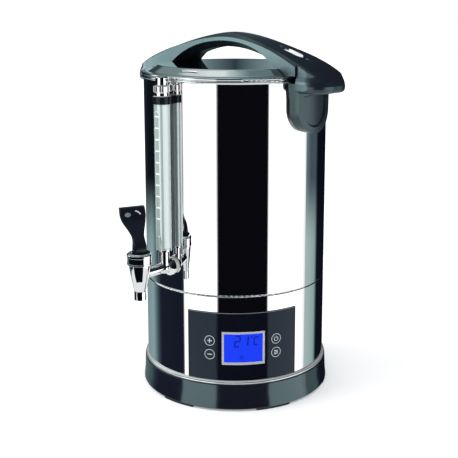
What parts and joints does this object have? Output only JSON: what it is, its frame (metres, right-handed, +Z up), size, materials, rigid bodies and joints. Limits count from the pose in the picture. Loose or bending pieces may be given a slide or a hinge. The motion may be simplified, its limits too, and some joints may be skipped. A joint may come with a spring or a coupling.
{
  "type": "electric all in one brewer",
  "caption": "Cylindrical steel boiler with a lift-off lid, lever tap, sight tube, side grips and a control panel with a display in its base.",
  "frame": {"origin": "on the tank's axis at the level its rubber feet stand on", "axes": "+Z up; the tap and sight tube point along -Y, the side grips lie along +X and -X, the control panel is centred on the direction (0.731, -0.682, 0) and the mains inlet faces +Y"},
  "size_m": [0.311, 0.2986, 0.444],
  "materials": {
    "bezel_silver": "silver gloss",
    "black_gloss": "glossy",
    "black_satin": "satin gloss",
    "board_green": "laminate",
    "brass": "plain",
    "button_black": "glossy",
    "capacitor_blue": "sleeved",
    "chrome": "polished",
    "clear_tube": "clear plastic",
    "element_steel": "plain",
    "foot_rubber": "matte",
    "lcd_blue": "back-lit",
    "lock_white": "white",
    "mirror_steel": "mirror polished stainless steel",
    "module_grey": "plain",
    "moulding_black": "matte",
    "panel_gloss": "glossy",
    "plate_alu": "cast",
    "screw_steel": "plain",
    "silicone": "translucent silicone",
    "switch_black": "plain",
    "transformer_yellow": "taped",
    "wire_brown": "insulated",
    "wire_red": "silicone sleeve"
  },
  "bodies": {
    "urn": {"base_plate": "moulding_black", "base_ring": "black_gloss", "base_screws": "screw_steel", "bracket_screw": "screw_steel", "capacitors": "capacitor_blue", "cutout_bracket": "screw_steel", "display_bezel": "bezel_silver", "display_board": "board_green", "display_module": "module_grey", "display_window": "lcd_blue", "handle_inserts": "brass", "handle_screw_seals": "silicone", "handle_screws": "screw_steel", "heater_leads": "wire_red", "heating_element": "element_steel", "heating_plate": "plate_alu", "inlet_pins": "brass", "inlet_screws": "screw_steel", "inlet_socket": "black_satin", "left_side_handle": "black_satin", "lower_band": "mirror_steel", "panel_frame": "mirror_steel", "panel_lens": "panel_gloss", "power_board": "board_green", "power_leads": "wire_brown", "relay": "switch_black", "right_side_handle": "black_satin", "rubber_feet": "foot_rubber", "sight_lower_seal": "silicone", "sight_tube": "clear_tube", "sight_upper_bracket": "black_satin", "tact_switches": "switch_black", "tank": "mirror_steel", "tap_body": "chrome", "tap_bonnet": "chrome", "tap_inner_seal": "silicone", "tap_lock_nut": "chrome", "tap_outer_seal": "silicone", "temperature_sensor": "element_steel", "terminal_block": "moulding_black", "thermal_cutout": "element_steel", "transformer": "transformer_yellow", "trim_ring": "mirror_steel", "valve_spring": "screw_steel"},
    "lid": {"lid": "mirror_steel", "lid_gasket": "silicone", "lid_handle": "black_satin", "lid_handle_screws": "screw_steel"},
    "lock": {"lock_bolt": "lock_white", "lock_button": "lock_white"},
    "lever": {"tap_lever": "black_satin", "lever_pin": "screw_steel"},
    "valve": {"valve_stem": "brass", "seat_cup": "silicone"},
    "cap": {"sight_cap": "chrome", "sight_cap_seal": "silicone"},
    "plus": {"button_plus": "button_black"},
    "minus": {"button_minus": "button_black"},
    "power": {"button_power": "button_black"},
    "set": {"button_set": "button_black"}
  },
  "joints": [
    {"name": "lid_lift", "type": "slide", "parent": "urn", "child": "lid", "axis": [0, 0, 1], "range_m": [0, 0.12]},
    {"name": "lock_slide", "type": "slide", "parent": "lid", "child": "lock", "axis": [1, 0, 0], "range_m": [0, 0.003]},
    {"name": "lever_tilt", "type": "hinge", "parent": "valve", "child": "lever", "pos_m": [0, -0.164, 0.2013], "axis": [-0.3746, -0.9272, 0], "range_deg": [0, 30], "stiffness_Nm_per_rad": 0.06, "springref_deg": -17.19},
    {"name": "valve_rise", "type": "slide", "parent": "urn", "child": "valve", "axis": [0, 0, 1], "range_m": [0, 0.0031], "deforming": ["valve_spring"]},
    {"name": "sight_cap_lift", "type": "slide", "parent": "urn", "child": "cap", "axis": [0, 0, 1], "range_m": [0, 0.03]},
    {"name": "plus_press", "type": "slide", "parent": "urn", "child": "plus", "axis": [-0.4478, 0.8942, 0], "range_m": [0, 0.0006], "stiffness_N_per_m": 800, "springref_m": -0.0003},
    {"name": "minus_press", "type": "slide", "parent": "urn", "child": "minus", "axis": [-0.4478, 0.8942, 0], "range_m": [0, 0.0006], "stiffness_N_per_m": 800, "springref_m": -0.0003},
    {"name": "power_press", "type": "slide", "parent": "urn", "child": "power", "axis": [-0.9232, 0.3843, 0], "range_m": [0, 0.0006], "stiffness_N_per_m": 800, "springref_m": -0.0003},
    {"name": "set_press", "type": "slide", "parent": "urn", "child": "set", "axis": [-0.9232, 0.3843, 0], "range_m": [0, 0.0006], "stiffness_N_per_m": 800, "springref_m": -0.0003}
  ],
  "couplings": [
    {"joint": "valve_rise", "follows": "lever_tilt", "m_per_rad": 0.00573}
  ]
}
